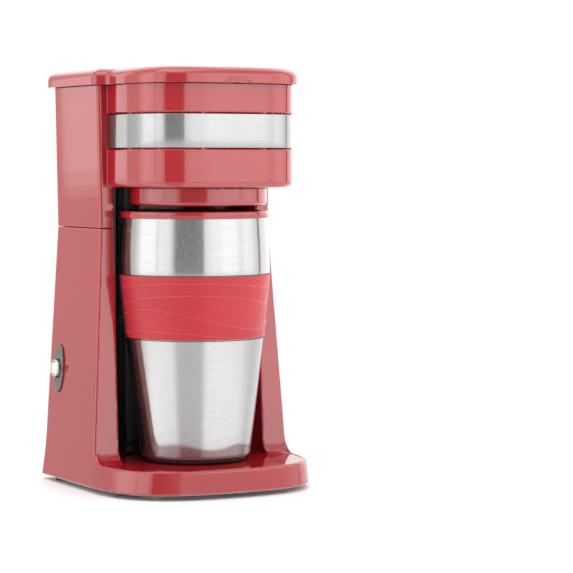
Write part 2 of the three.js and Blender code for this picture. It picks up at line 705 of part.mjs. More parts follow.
function baseScrew(x, y) {
  const z = Z_BODY + 0.5;
  const head = [[0, z], [2.4, z], [3, z + 0.5], [3, z + 0.8]];
  const shank = [[1.5, z + 0.9], [1.5, z + 7], [0, z + 7]];
  return turn([...head, ...shank], x, y, 16);
}
SCREWS.forEach(([x, y], i) => add(`base_screw_${i + 1}`, baseScrew(x, y), STEEL));

// ---- Travel mug ---------------------------------------------------------------------------
const MUG = { bottom: 19, wide: 127, top: 159.3, sleeve: [88.9, 126.1], recess: 0.8, steel: 0.9 };
const CUP = { hung: 3, thick: 1.8, rise: 4 }; // the inner cup, hung in the steel by its lip

// Outer radius of the steel at a height: a taper to the widest point, then drawn in to the lip.
function mugRadius(z) {
  if (z > MUG.wide) {
    return 42.7 + 1.5 * Math.cos(((z - MUG.wide) / (MUG.top - MUG.wide)) * (Math.PI / 2));
  }
  const t = (z - MUG.bottom) / (MUG.wide - MUG.bottom);
  return 32.4 + 11.8 * (t + 0.16 * t * (1 - t));
}

// Points up or down the mug's side, set in from its outer face.
function mugSide(from, to, count, inset = 0) {
  const points = [];
  for (let i = 0; i <= count; i++) {
    const z = from + ((to - from) * i) / count;
    points.push([mugRadius(z) - inset, z]);
  }
  return points;
}

function mugShell() {
  const { bottom, top, recess } = MUG;
  const [low, high] = MUG.sleeve;
  const outside = [
    [0, bottom],
    [31.2, bottom],
    ...mugSide(bottom + 1.6, low, 3),
    ...mugSide(low, high, 2, recess),
    ...mugSide(high, top, 4),
  ];
  const inside = mugSide(top, bottom + 2, 5, MUG.steel + recess);
  return solid(turn([...outside, ...inside, [0, bottom + 2]], 0, MUG_Y, 36));
}
add("mug_shell", mugShell(), STEEL);

function mugLiner() {
  const low = MUG.bottom + CUP.rise;
  const lip = MUG.top + GAP;
  const inset = CUP.hung + CUP.thick;
  const outside = mugSide(low, MUG.top - 1, 5, CUP.hung);
  const lipRing = [
    [mugRadius(MUG.top) - CUP.hung, lip],
    [43.2, lip],
    [43.9, lip + 0.9],
    [43.5, lip + 2.3],
    [42.4, lip + 2.8],
    [39.6, lip + 2.8],
    [mugRadius(MUG.top) - inset, lip + 0.7],
  ];
  const inside = mugSide(MUG.top - 1, low + 2, 5, inset);
  return solid(turn([[0, low], ...outside, ...lipRing, ...inside, [0, low + 2]], 0, MUG_Y, 36));
}
add("mug_liner", mugLiner(), RED_GLOSS);

function mugSleeve() {
  const [low, high] = [MUG.sleeve[0] + GAP, MUG.sleeve[1] - GAP];
  const outside = mugSide(low, high, 2, -0.35);
  const inside = mugSide(high, low, 2, MUG.recess - GAP);
  return solid(turn([...outside, ...inside, outside[0]], 0, MUG_Y, 36));
}
add("mug_sleeve", mugSleeve(), RED_RUBBER);

function mugBasePad() {
  const [low, top] = [Z_PLATFORM + GAP, MUG.bottom - GAP];
  return turn([[0, low], [29.4, low], [30.4, low + 0.9], [30.4, top], [0, top]], 0, MUG_Y, 28);
}
add("mug_base_pad", mugBasePad(), RUBBER);

export default machine;
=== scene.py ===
"""Looks for the single-serve drip coffee maker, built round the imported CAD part. Metres, front at -Y."""

import math

import bpy
import numpy as np
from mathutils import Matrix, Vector

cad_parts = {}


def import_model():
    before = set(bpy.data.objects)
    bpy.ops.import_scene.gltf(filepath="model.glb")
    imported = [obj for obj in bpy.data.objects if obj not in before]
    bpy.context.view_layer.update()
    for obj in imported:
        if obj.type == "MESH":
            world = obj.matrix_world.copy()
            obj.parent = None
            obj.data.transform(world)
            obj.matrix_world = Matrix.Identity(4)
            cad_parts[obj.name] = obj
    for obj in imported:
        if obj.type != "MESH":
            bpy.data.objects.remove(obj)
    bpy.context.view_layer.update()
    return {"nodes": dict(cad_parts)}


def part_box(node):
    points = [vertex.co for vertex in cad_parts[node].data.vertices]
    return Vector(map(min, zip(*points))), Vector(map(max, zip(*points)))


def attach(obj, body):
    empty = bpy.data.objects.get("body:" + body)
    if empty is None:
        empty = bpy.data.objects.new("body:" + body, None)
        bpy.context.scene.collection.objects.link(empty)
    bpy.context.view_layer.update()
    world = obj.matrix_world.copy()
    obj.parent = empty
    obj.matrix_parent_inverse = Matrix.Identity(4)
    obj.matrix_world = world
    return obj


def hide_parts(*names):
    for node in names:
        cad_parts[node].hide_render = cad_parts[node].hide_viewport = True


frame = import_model()
MM = 0.001


def box_mm(node):
    """Lowest and highest corner of a CAD node, in mm."""
    lo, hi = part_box(node)
    return np.array(lo) / MM, np.array(hi) / MM


# ---- Camera: where the photograph was taken from ------------------------------------------
CAMERA_MM = (-613.3, -1241.6, 190.7)
CAMERA_HEADING = 28.76  # degrees from +Y towards +X
CAMERA_DOWN = 3.02
LENS = 146.8

camera = bpy.data.objects.new("camera", bpy.data.cameras.new("camera"))
bpy.context.collection.objects.link(camera)
camera.data.lens = LENS
camera.data.sensor_width = 36
camera.data.clip_start = 0.05
camera.location = Vector(CAMERA_MM) * MM
heading, down = math.radians(CAMERA_HEADING), math.radians(CAMERA_DOWN)
look = Vector((math.sin(heading) * math.cos(down), math.cos(heading) * math.cos(down), -math.sin(down)))
camera.rotation_euler = look.to_track_quat("-Z", "Y").to_euler()
bpy.context.scene.camera = camera

# ---- Sizes shared by several pieces, in mm ------------------------------------------------
Z_BODY = box_mm("lower_housing")[0][2]
Z_SEAM = box_mm("lower_housing")[1][2]
Z_UPPER = box_mm("upper_housing")[0][2]
Z_RIM = 235.9
Z_LID_LOW, Z_LID_TOP = box_mm("lid_cover")[0][2], box_mm("lid_cover")[1][2]
Z_PLATFORM = 16.8
Z_HEAD = 176.6
Y_FRONT = box_mm("lower_housing")[0][1]
Y_BACK_BASE = box_mm("lower_housing")[1][1]
Y_BACK = 65.3
Y_REAR = box_mm("lid_cover")[1][1]
Y_COLUMN = -0.9
BAY_R, BAY_Y = 47.3, -9.0
MUG_Y = -11.8
BASKET_Y = -24.4
WALL = 2.5
HINGE_Y, HINGE_Z = 66.2, 238.4
BAND_LOW, BAND_HIGH = box_mm("head_band")[0][2], box_mm("head_band")[1][2]
TAPER = 0.0615  # how far each side leans out, below the seam
BUTTON_Y, BUTTON_Z, BUTTON_R = 48.2, 68.0, 5.3
DRIP_R, DRIP_Y = 40.0, -17.0
DRIP_OUTLET_R = 7
COLUMN_HALF = 55.4  # half width at the seam
HEAD_HALF, HEAD_SHOULDER, HEAD_FRONT, HEAD_POWER = 50.6, -12, -63.4, 3.4
BACK_CORNER = 5
KNUCKLE_R = 2
LID_EDGE = 3.4  # height of the chamfer round the lid's top
SEAM_EDGE = 0.35


# ---- Distance fields: negative inside, in mm ----------------------------------------------
def both(a, b, r):
    """Where a and b overlap, their meeting edge rounded to radius r."""
    u, v = np.maximum(a + r, 0), np.maximum(b + r, 0)
    return np.minimum(-r, np.maximum(a, b)) + np.hypot(u, v)


def join(a, b, r):
    """a and b together, the hollow corner between them rounded to radius r."""
    u, v = np.maximum(r - a, 0), np.maximum(r - b, 0)
    return np.maximum(r, np.minimum(a, b)) - np.hypot(u, v)


def bow(x, y, w, shoulder, front, power):
    """Plan shape: straight sides behind the shoulder and a superellipse in front of it."""
    deep = shoulder - front
    u = np.abs(x) / w
    t = np.maximum(shoulder - y, 0) / deep
    g = np.maximum((u**power + t**power) ** (1 / power), 0.3)
    slope = np.hypot(np.minimum(u / g, 1) ** (power - 1) / w, np.minimum(t / g, 1) ** (power - 1) / deep)
    return (g - 1) / np.maximum(slope, 1e-3)


def slab(v, low, high):
    return np.maximum(low - v, v - high)


def bay(x, y, extra=0.0):
    """Plan of the hollow that the mug stands in: round behind, straight to the front."""
    r = BAY_R + extra
    return np.where(y < BAY_Y, np.abs(x) - r, np.hypot(x, y - BAY_Y) - r)


def smoothstep(v, a, b):
    t = np.clip((v - a) / (b - a), 0, 1)
    return t * t * (3 - 2 * t)


def half_width(z):
    """Half width of the lower housing: a straight taper with a flare at the foot."""
    flare_z, flare_high, flare_out = 32, 29, 1.4
    return COLUMN_HALF + TAPER * (Z_SEAM - z) + flare_out * (np.maximum(flare_z - z, 0) / flare_high) ** 2


def lower_field(x, y, z):
    side = bow(x, y, half_width(z), -1.5, Y_FRONT, 2.9)
    back = Y_BACK + (Y_BACK_BASE - Y_BACK) * (Z_SEAM - z) / (Z_SEAM - Z_BODY)
    plan = both(side, y - back, BACK_CORNER)
    sunk = 0.55 * smoothstep(side, -2.1, -3.1)  # the platform lies a little below its own edge
    top = z - Z_PLATFORM + sunk
    wing_slope, wing_foot_r = 0.0555, 9.5
    wing = Y_COLUMN - wing_slope * (Z_SEAM - z) - y
    wall = both(join(wing, top, wing_foot_r), -bay(x, y), 1.1)
    solid = both(plan, np.minimum(wall, top), 1.5)
    shell = np.maximum(solid, -(solid + WALL))
    hole = np.hypot(y - BUTTON_Y, z - BUTTON_Z) - BUTTON_R - 0.4
    shell = np.maximum(shell, -np.maximum(hole, x + 50))
    return both(both(shell, z - Z_SEAM, SEAM_EDGE), Z_BODY - z, 0.6)


def head_plan(x, y, inset=0.0):
    return bow(x, y, HEAD_HALF - inset, HEAD_SHOULDER, HEAD_FRONT + inset, HEAD_POWER)


def column_plan(x, y, z, inset=0.0):
    wider_at_rim = 1.6
    w = COLUMN_HALF + wider_at_rim * (z - Z_SEAM) / (Z_RIM - Z_SEAM) - inset
    front = both(np.abs(x) - w, Y_COLUMN + inset - y, max(2 - inset, 0.4))
    return both(front, y - Y_BACK + inset, BACK_CORNER)


def upper_field(x, y, z):
    column = both(column_plan(x, y, z), -np.maximum(bay(x, y), z - Z_HEAD), 1.5)
    head = both(np.maximum(head_plan(x, y), y - 20), Z_HEAD - z, 3.2)
    body = np.minimum(column, head)
    band_gap, seat_deep = 0.3, 1.4
    seat = slab(z, BAND_LOW - band_gap, BAND_HIGH + band_gap)
    seat = np.maximum(seat, np.maximum(-seat_deep - head_plan(x, y), y - Y_COLUMN))
    body = np.maximum(body, -seat)
    tank = np.maximum(column_plan(x, y, z, WALL), 17.6 - y)
    steep = 50  # above the head's floor the room for the reservoir is no longer shaped by the bay
    tank = np.maximum(tank, -bay(x, y, WALL) - np.maximum(z - Z_HEAD - WALL, 0) * steep)
    chamber = both(np.maximum(head_plan(x, y, WALL), y - 12.5), Z_HEAD + WALL - z, 1.5)
    body = np.maximum(body, -np.minimum(tank, chamber))
    outlet_r = 9
    outlet = np.hypot(x, y - BASKET_Y) - outlet_r
    notch = np.maximum(np.maximum(np.abs(x) - 20, slab(y, 12, 18)), Z_RIM - 3 - z)
    body = np.maximum(body, -np.minimum(outlet, notch))
    body = both(body, z - Z_RIM, 0.2)
    knuckle = np.hypot(y - HINGE_Y, z - HINGE_Z) - KNUCKLE_R
    web = np.maximum(slab(y, Y_BACK - 1, HINGE_Y + 2), slab(z, Z_RIM - 5, HINGE_Z))
    lug = np.maximum(np.minimum(knuckle, web), slab(np.abs(x), 30, 42))
    return both(np.minimum(body, lug), Z_UPPER - z, SEAM_EDGE)


def lid_plan(x, y, inset=0.0):
    rear = both(np.abs(x) - 60.3 + inset, slab(y, -4.4 + inset, Y_REAR - inset), 5 - min(inset, 4.5))
    front = np.maximum(bow(x, y, 52.6 - inset, -12, -68 + inset, 3.4), y - 10)
    return join(rear, front, 5)


CHAMFER = math.atan2(LID_EDGE, 4.6)
SCOOP_AT, SCOOP_REACH = (0, -68.2, 236), (9.2, 2.4, 3.6)  # thumb scoop in the lid's front edge


def lid_field(x, y, z):
    plan = lid_plan(x, y)
    slope = plan * math.sin(CHAMFER) + (z - (Z_LID_TOP - LID_EDGE)) * math.cos(CHAMFER)
    lid = both(both(plan, slope, 1.6), z - Z_LID_TOP, 2.5)
    low = Z_LID_LOW - 0.2
    lid = both(lid, low - z, 0.2)
    lid = np.maximum(lid, -np.maximum(lid_plan(x, y, 2.6), z - (Z_LID_TOP - LID_EDGE)))
    ease = (y - HINGE_Y) - (z - low) * (Y_REAR - HINGE_Y) / (HINGE_Z - low)
    lid = np.maximum(lid, np.where(z < HINGE_Z, ease * 0.74, lid))
    u, v, t = (np.abs((a - c) / r) for a, c, r in zip((x, y, z), SCOOP_AT, SCOOP_REACH))
    scoop = (u**2.5 + v**1.2 + t**1.2 - 1) * 1.2
    lid = both(lid, -scoop, 0.2)
    knuckle = np.hypot(y - HINGE_Y, z - HINGE_Z) - KNUCKLE_R
    tie = np.maximum(slab(y, 64.2, Y_REAR), slab(z, HINGE_Z, Z_LID_TOP - 3.2))
    knuckle = np.minimum(knuckle, tie)
    ax = np.abs(x)
    ends = np.minimum(slab(ax, 26.4, 29.6), slab(ax, 42.4, 45.6))
    room = np.maximum(slab(ax, 29.6, 42.4), np.maximum(62.8 - y, z - HINGE_Z - 2.6))
    return np.minimum(np.maximum(lid, -room), np.maximum(knuckle, ends))


def drip_plan(x, y, inset=0.0):
    return np.hypot(x, y - DRIP_Y) - DRIP_R + inset


def drip_field(x, y, z):
    lo, hi = box_mm("drip_housing")
    hi[2] += 0.2
    outer = both(both(drip_plan(x, y), lo[2] - z, 2.2), z - hi[2], 0.3)
    inner = np.maximum(drip_plan(x, y, 2), lo[2] + 2 - z)
    outlet = np.hypot(x, y - MUG_Y) - DRIP_OUTLET_R
    return np.maximum(outer, -np.minimum(inner, outlet))


# ---- Meshes from fields: surface nets, then each point is moved onto the surface ----------
def lines(*spans):
    """Grid lines: each span is (from, to, step)."""
    out = []
    for a, b, step in spans:
        n = max(int(round((b - a) / step)), 1)
        out.extend(a + (b - a) * i / n for i in range(n + (b == spans[-1][1])))
    return np.array(out)


def gradient(field, p, h=0.02):
    g = np.empty_like(p)
    for axis in range(3):
        d = np.zeros(3)
        d[axis] = h
        a, b = p + d, p - d
        g[:, axis] = (field(*a.T) - field(*b.T)) / (2 * h)
    return g


def field_mesh(name, field, xs, ys, zs):
    v = field(*np.meshgrid(xs, ys, zs, indexing="ij"))
    inside = v < 0
    shape = np.array(v.shape) - 1
    count = np.zeros(shape, np.int8)
    for dx in (0, 1):
        for dy in (0, 1):
            for dz in (0, 1):
                count += inside[dx : dx + shape[0], dy : dy + shape[1], dz : dz + shape[2]]
    cells = np.argwhere((count > 0) & (count < 8))
    index = np.full(shape, -1, np.int64)
    index[tuple(cells.T)] = np.arange(len(cells))
    grid = (xs, ys, zs)
    total, hits = np.zeros((len(cells), 3)), np.zeros(len(cells))
    for axis in range(3):
        others = [a for a in range(3) if a != axis]
        for i in (0, 1):
            for j in (0, 1):
                start = cells.copy()
                start[:, others[0]] += i
                start[:, others[1]] += j
                end = start.copy()
                end[:, axis] += 1
                va, vb = v[tuple(start.T)], v[tuple(end.T)]
                cross = (va < 0) != (vb < 0)
                t = np.where(cross, va / np.where(cross, va - vb, 1), 0)
                point = np.stack([grid[a][start[:, a]] for a in range(3)], 1)
                step = grid[axis][end[:, axis]] - grid[axis][start[:, axis]]
                point[:, axis] += t * step
                total += point * cross[:, None]
                hits += cross
    points = total / hits[:, None]
    for _ in range(6):
        g = gradient(field, points)
        move = field(*points.T)[:, None] * g / np.maximum((g * g).sum(1), 0.2)[:, None]
        size = np.linalg.norm(move, axis=1, keepdims=True)
        points -= move * np.minimum(1, 0.4 / np.maximum(size, 1e-9))
    faces = []
    for axis in range(3):
        a, b = [(1, 2), (2, 0), (0, 1)][axis]
        low = np.take(inside, range(v.shape[axis] - 1), axis)
        high = np.take(inside, range(1, v.shape[axis]), axis)
        edges = np.argwhere(low != high)
        within = (edges[:, a] > 0) & (edges[:, b] > 0)
        within &= (edges[:, a] < shape[a]) & (edges[:, b] < shape[b])
        edges = edges[within]
        outward = low[tuple(edges.T)]
        ring = []
        for da, db in ((-1, -1), (0, -1), (0, 0), (-1, 0)):
            c = edges.copy()
            c[:, a] += da
            c[:, b] += db
            ring.append(index[tuple(c.T)])
        quad = np.stack(ring, 1)
        quad[~outward] = quad[~outward][:, ::-1]
        faces.append(quad)
    faces = np.concatenate(faces)
    obj = mesh_object(name, points, faces.tolist())
    normals = gradient(field, points)
    normals /= np.maximum(np.linalg.norm(normals, axis=1, keepdims=True), 1e-6)
    obj.data.normals_split_custom_set_from_vertices(normals.tolist())
    return obj


def mesh_object(name, points_mm, faces):
    mesh = bpy.data.meshes.new(name)
    mesh.from_pydata((np.asarray(points_mm) * MM).tolist(), [], faces)
    mesh.validate()
    mesh.shade_smooth()
    obj = bpy.data.objects.new(name, mesh)
    bpy.context.collection.objects.link(obj)
    return obj


# ---- Meshes from rings --------------------------------------------------------------------
def rings_mesh(name, rings, closed=False, cap=True):
    """Joins rings of equal length, each an array of points in mm, into one tube or closed band."""
    n = len(rings[0])
    points = np.concatenate([np.asarray(r, float) for r in rings])
    faces = []
    last = len(rings) if closed else len(rings) - 1
    for k in range(last):
        a, b = k * n, ((k + 1) % len(rings)) * n
        faces += [(a + i, a + (i + 1) % n, b + (i + 1) % n, b + i) for i in range(n)]
    if cap and not closed:
        faces.append(tuple(range(n))[::-1])
        faces.append(tuple(range((len(rings) - 1) * n, len(rings) * n)))
    return mesh_object(name, points, faces)


def soften(outline, radii, arc=5):
    """A [radius, height] profile with its corners rounded: radii gives one number a corner."""
    outline = [np.array(p, float) for p in outline]
    out = [outline[0]]
    for i in range(1, len(outline) - 1):
        p, q, s = outline[i - 1], outline[i], outline[i + 1]
        r = radii[i - 1] if i - 1 < len(radii) else 0
        if r <= 0:
            out.append(q)
            continue
        a, b = (p - q) / np.linalg.norm(p - q), (s - q) / np.linalg.norm(s - q)
        half = math.acos(np.clip(a @ b, -1, 1)) / 2
        reach = min(r / math.tan(half), 0.48 * np.linalg.norm(p - q), 0.48 * np.linalg.norm(s - q))
        for k in range(arc + 1):
            t = k / arc
            out.append((1 - t) ** 2 * (q + a * reach) + 2 * t * (1 - t) * q + t * t * (q + b * reach))
    return [tuple(p) for p in out] + [tuple(outline[-1])]


def lathe(name, profile, centre, sides=96, axis="z"):
    """Turned piece. The profile starts and ends on the axis, or closes on itself."""
    on_axis = profile[0][0] < 1e-6 and profile[-1][0] < 1e-6
    middle = profile[1:-1] if on_axis else profile
    angles = np.arange(sides) * 2 * math.pi / sides
    points, faces = [], []
    for r, h in middle:
        points += [(r * math.cos(a), r * math.sin(a), h) for a in angles]
    m = len(middle)
    for k in range(m - 1 if on_axis else m):
        a, b = k * sides, ((k + 1) % m) * sides
        faces += [(a + i, a + (i + 1) % sides, b + (i + 1) % sides, b + i) for i in range(sides)]
    if on_axis:
        points += [(0, 0, profile[0][1]), (0, 0, profile[-1][1])]
        first, last = len(points) - 2, len(points) - 1
        faces += [(first, (i + 1) % sides, i) for i in range(sides)]
        top = (m - 1) * sides
        faces += [(last, top + i, top + (i + 1) % sides) for i in range(sides)]
    points = np.array(points, float)
    if axis == "x":
        points = points[:, [2, 0, 1]]
    return mesh_object(name, points + np.array(centre), faces)


def sharpen(obj, degrees=35):
    obj.data.set_sharp_from_angle(angle=math.radians(degrees))
    return obj


def place(obj, body, slot, *nodes):
    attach(obj, body)
    if nodes:
        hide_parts(*nodes)
    return obj


# ---- Materials ----------------------------------------------------------------------------
class Look:
    """A Principled material with small helpers for its procedural detail."""

    def __init__(self, name, color, roughness, metallic=0.0, **sockets):
        self.m = bpy.data.materials.new(name)
        self.m.use_nodes = True
        self.t = self.m.node_tree
        self.p = self.t.nodes["Principled BSDF"]
        self.p.inputs["Base Color"].default_value = (*color, 1)
        self.p.inputs["Roughness"].default_value = roughness
        self.p.inputs["Metallic"].default_value = metallic
        for key, value in sockets.items():
            self.p.inputs[key.replace("_", " ")].default_value = value
        self.color, self.roughness = color, roughness
        self.height = None

    def node(self, kind, **settings):
        n = self.t.nodes.new(kind)
        for key, value in settings.items():
            setattr(n, key, value)
        return n

    def link(self, a, b):
        self.t.links.new(a, b)

    def noise(self, scale, stretch=(1, 1, 1), detail=3.0, rough=0.55):
        """A noise value whose cells are 1/scale metres, squeezed along each axis by stretch."""
        coord = self.node("ShaderNodeTexCoord")
        mapping = self.node("ShaderNodeMapping")
        mapping.inputs["Scale"].default_value = stretch
        self.link(coord.outputs["Object"], mapping.inputs["Vector"])
        noise = self.node("ShaderNodeTexNoise")
        noise.inputs["Scale"].default_value = scale
        noise.inputs["Detail"].default_value = detail
        noise.inputs["Roughness"].default_value = rough
        self.link(mapping.outputs["Vector"], noise.inputs["Vector"])
        return noise.outputs["Fac"]

    def math(self, operation, a, b):
        n = self.node("ShaderNodeMath", operation=operation)
        self.link(a, n.inputs[0])
        self.link(b, n.inputs[1])
        return n.outputs[0]

    def spread(self, value, low, high, frm=0.3, to=0.7):
        r = self.node("ShaderNodeMapRange")
        self.link(value, r.inputs["Value"])
        r.inputs["From Min"].default_value = frm
        r.inputs["From Max"].default_value = to
        r.inputs["To Min"].default_value = low
        r.inputs["To Max"].default_value = high
        return r.outputs["Result"]

    def tint_inside(self, centre, reach, color):
        """Turns to another colour inside an ellipsoid, given in mm."""
        coord, fit = self.node("ShaderNodeTexCoord"), self.node("ShaderNodeMapping")
        fit.inputs["Scale"].default_value = [1 / (r * MM) for r in reach]
        fit.inputs["Location"].default_value = [-c / r for c, r in zip(centre, reach)]
        self.link(coord.outputs["Object"], fit.inputs["Vector"])
        length = self.node("ShaderNodeVectorMath", operation="LENGTH")
        self.link(fit.outputs["Vector"], length.inputs[0])
        return self.tint(self.spread(length.outputs["Value"], 1, 0, 0.6, 1.0), color)

    def tint(self, mask, color):
        mix = self.node("ShaderNodeMix", data_type="RGBA")
        self.link(mask, mix.inputs["Factor"])
        self.link(self.p.inputs["Base Color"].links[0].from_socket, mix.inputs["A"])
        mix.inputs["B"].default_value = (*color, 1)
        self.link(mix.outputs["Result"], self.p.inputs["Base Color"])
        return self

    def vary_roughness(self, value, by):
        self.link(self.spread(value, self.roughness - by, self.roughness + by), self.p.inputs["Roughness"])
        return self

    def vary_color(self, value, darker, lighter=1.0):
        mix = self.node("ShaderNodeMix", data_type="RGBA")
        mix.inputs["A"].default_value = (*[c * darker for c in self.color], 1)
        mix.inputs["B"].default_value = (*[min(c * lighter, 1) for c in self.color], 1)
        self.link(self.spread(value, 0, 1), mix.inputs["Factor"])
        self.link(mix.outputs["Result"], self.p.inputs["Base Color"])
        return self

    def bump(self, value, strength, distance):
        b = self.node("ShaderNodeBump")
        b.inputs["Strength"].default_value = strength
        b.inputs["Distance"].default_value = distance
        self.link(value, b.inputs["Height"])
        if self.height:
            self.link(self.height, b.inputs["Normal"])
        self.height = b.outputs["Normal"]
        self.link(self.height, self.p.inputs["Normal"])
        return self

    def brushed(self, tangent):
        """Stretches the highlight across the brushing."""
        t = self.node("ShaderNodeTangent", direction_type="RADIAL", axis=tangent)
        self.link(t.outputs["Tangent"], self.p.inputs["Tangent"])
        return self


def red_plastic(name, scoop=False):
    k = Look(name, (0.3, 0.009, 0.013), 0.075, IOR=1.72)
    k.vary_color(k.noise(9, detail=2), 0.95, 1.05)
    if scoop:
        # Painted shade: a darker red over the left part of the thumb scoop stands in for the shadow in that
        # recess.
        k.tint_inside((-4.6, -68.2, 235.6), (5.4, 2.4, 3.4), (0.2, 0.003, 0.004))
    k.vary_roughness(k.noise(60, detail=4), 0.025)
    k.bump(k.noise(420, detail=2), 0.02, 0.0004)
    return k.bump(k.noise(30, detail=1), 0.015, 0.002).m


def red_rubber():
    k = Look("red_rubber", (0.4, 0.017, 0.026), 0.42, IOR=1.42, Sheen_Weight=0.08, Sheen_Roughness=0.4)
    k.p.inputs["Sheen Tint"].default_value = (1, 0.75, 0.75, 1)
    k.vary_color(k.noise(40), 0.93, 1.06)
    # Painted highlight: the grip's raised lines are coloured lighter along their crests, standing in for the
    # light they catch.
    crest = k.node("ShaderNodeAttribute", attribute_name="ridge")
    k.tint(k.spread(crest.outputs["Fac"], 0, 1, 0.5, 1.0), (0.5, 0.055, 0.07))
    k.vary_roughness(k.noise(150), 0.06)
    return k.bump(k.noise(2600, detail=2), 0.12, 0.0002).m


def steel(name, tone, roughness, rough, smooth, fine):
    """Steel turned with fine grooves: most of it is smooth and part of it scatters widely."""
    k = Look(name, (tone, tone, tone * 0.99), roughness, 1.0, Anisotropic=0.6, Anisotropic_Rotation=0.25)
    streak = k.noise(1.0, (60, 60, fine), 2, 0.5)
    k.vary_color(streak, 0.95, 1.05)
    grain = k.noise(fine, detail=1)
    k.link(k.spread(grain, roughness, rough, smooth, smooth + 0.1), k.p.inputs["Roughness"])
    k.bump(streak, 0.003, 0.0001)
    return k.brushed("Z").m


def plain_steel():
    k = Look("steel", (0.56, 0.56, 0.55), 0.3, 1.0)
    k.vary_color(k.noise(160), 0.85, 1.1)
    k.vary_roughness(k.noise(300), 0.08)
    return k.bump(k.noise(900), 0.06, 0.0002).m


def black_gloss():
    k = Look("black_gloss", (0.006, 0.0055, 0.0055), 0.1, IOR=1.5)
    k.vary_color(k.noise(25), 0.8, 1.3)
    k.vary_roughness(k.noise(80), 0.03)
    return k.bump(k.noise(18, (1, 1, 0.15), 1), 0.12, 0.002).m


def grained(name, color, roughness, grain=1400.0, depth=0.25):
    k = Look(name, color, roughness)
    k.vary_color(k.noise(70), 0.85, 1.15)
    k.vary_roughness(k.noise(240), 0.07)
    return k.bump(k.noise(grain, detail=2), depth, 0.0002).m


def rubber():
    k = Look("foot_rubber", (0.012, 0.011, 0.011), 0.72)
    k.vary_color(k.noise(120), 0.7, 1.5)
    k.vary_roughness(k.noise(400), 0.08)
    return k.bump(k.noise(1800), 0.2, 0.0002).m


def chrome():
    k = Look("chrome", (0.5, 0.5, 0.49), 0.1, 1.0)
    k.vary_color(k.noise(200), 0.94, 1.04)
    k.vary_roughness(k.noise(500), 0.025)
    return k.bump(k.noise(900), 0.01, 0.0002).m


def brushed_plate():
    k = Look("grey_plate", (0.17, 0.16, 0.15), 0.36, 1.0, Anisotropic=0.5)
    streak = k.noise(1.0, (200, 200, 3800), 4, 0.65)
    k.vary_color(streak, 0.62, 1.25)
    k.vary_roughness(streak, 0.08)
    return k.bump(streak, 0.12, 0.0002).m


def window():
    k = Look("window", (0.78, 0.82, 0.8), 0.22, IOR=1.49)
    k.vary_color(k.noise(300), 0.94, 1.04)
    k.vary_roughness(k.noise(500), 0.05)
    return k.bump(k.noise(900), 0.03, 0.0002).m


def cast_aluminium():
    k = Look("cast_aluminium", (0.36, 0.37, 0.38), 0.5, 1.0)
    k.vary_color(k.noise(300, detail=5), 0.7, 1.2)
    k.vary_roughness(k.noise(500), 0.1)
    return k.bump(k.noise(1500, detail=4), 0.35, 0.0003).m


def smoky_plastic():
    k = Look("clear_grey", (0.40, 0.43, 0.45), 0.2, Transmission_Weight=0.35, IOR=1.49)
    k.vary_color(k.noise(30), 0.92, 1.06)
    k.vary_roughness(k.noise(90), 0.05)
    return k.bump(k.noise(300), 0.03, 0.0003).m


def silicone():
    k = Look("silicone", (0.62, 0.59, 0.53), 0.45, Subsurface_Weight=0.15, Subsurface_Scale=0.002)
    k.vary_color(k.noise(60), 0.92, 1.05)
    k.vary_roughness(k.noise(200), 0.06)
    return k.bump(k.noise(900), 0.08, 0.0003).m


def nylon_mesh():
    """Fine square weave: two sets of threads, 0.5 mm apart."""
    k = Look("nylon_mesh", (0.13, 0.085, 0.045), 0.5)
    coord = k.node("ShaderNodeTexCoord")
    heights = []
    for direction in ("X", "Z"):
        wave = k.node("ShaderNodeTexWave", wave_type="BANDS", bands_direction=direction, wave_profile="SIN")
        wave.inputs["Scale"].default_value = 640
        k.link(coord.outputs["Object"], wave.inputs["Vector"])
        heights.append(wave.outputs["Fac"])
    top = k.math("MAXIMUM", *heights)
    k.vary_color(top, 0.35, 1.3)
    k.vary_roughness(k.noise(300), 0.08)
    return k.bump(top, 0.6, 0.0003).m


LOOKS = {
    "red_gloss": red_plastic("red_gloss"),
    "red_lid_scoop_shade": red_plastic("red_lid_scoop_shade", scoop=True),
    "red_rubber": red_rubber(),
    "mug_steel": steel("mug_steel", 0.395, 0.11, 0.65, 0.53, 5200.0),
    "band_steel": steel("band_steel", 0.355, 0.08, 0.6, 0.5, 6500.0),
    "steel": plain_steel(),
    "black_gloss": black_gloss(),
    "black_matte": grained("black_matte", (0.014, 0.013, 0.013), 0.5),
    "grey_plastic": grained("grey_plastic", (0.25, 0.245, 0.235), 0.5),
    "foot_rubber": rubber(),
    "chrome": chrome(),
    "window": window(),
    "grey_plate": brushed_plate(),
    "cast_aluminium": cast_aluminium(),
    "clear_grey": smoky_plastic(),
    "silicone": silicone(),
    "nylon_mesh": nylon_mesh(),
}


def finish_piece(obj, look, body, slot, *nodes):
    obj.data.materials.append(LOOKS[look])
    return place(obj, body, slot, *nodes)


# ---- Housings -----------------------------------------------------------------------------
lower = field_mesh(
    "lower_housing_shell",
    lower_field,
    lines((-69, 69, 1.2)),
    lines((-71, 70, 1.2)),
    lines((1.4, 3.8, 0.6), (3.8, 33, 1.1), (33, 150, 3.2), (150, 154, 0.5)),
)
finish_piece(lower, "red_gloss", "housing", "red_gloss", "lower_housing")

upper = field_mesh(
    "upper_housing_shell",
    upper_field,
    lines((-59.5, 59.5, 0.95)),
    lines((-66, -4, 1.1), (-4, 60, 1.25), (60, 70, 0.55)),
    lines(
        (151.5, 154, 0.5), (154, 174, 2.5), (174, 183, 0.8), (183, 199.1, 2.6), (199.1, 199.3, 0.2),
        (199.3, 218.9, 2.6), (218.9, 219.1, 0.2), (219.1, 230, 2.6),
        (230, 235.3, 0.55), (235.3, 236.3, 0.2), (236.3, 242, 0.55),
    ),
)
finish_piece(upper, "red_gloss", "housing", "red_gloss", "upper_housing")

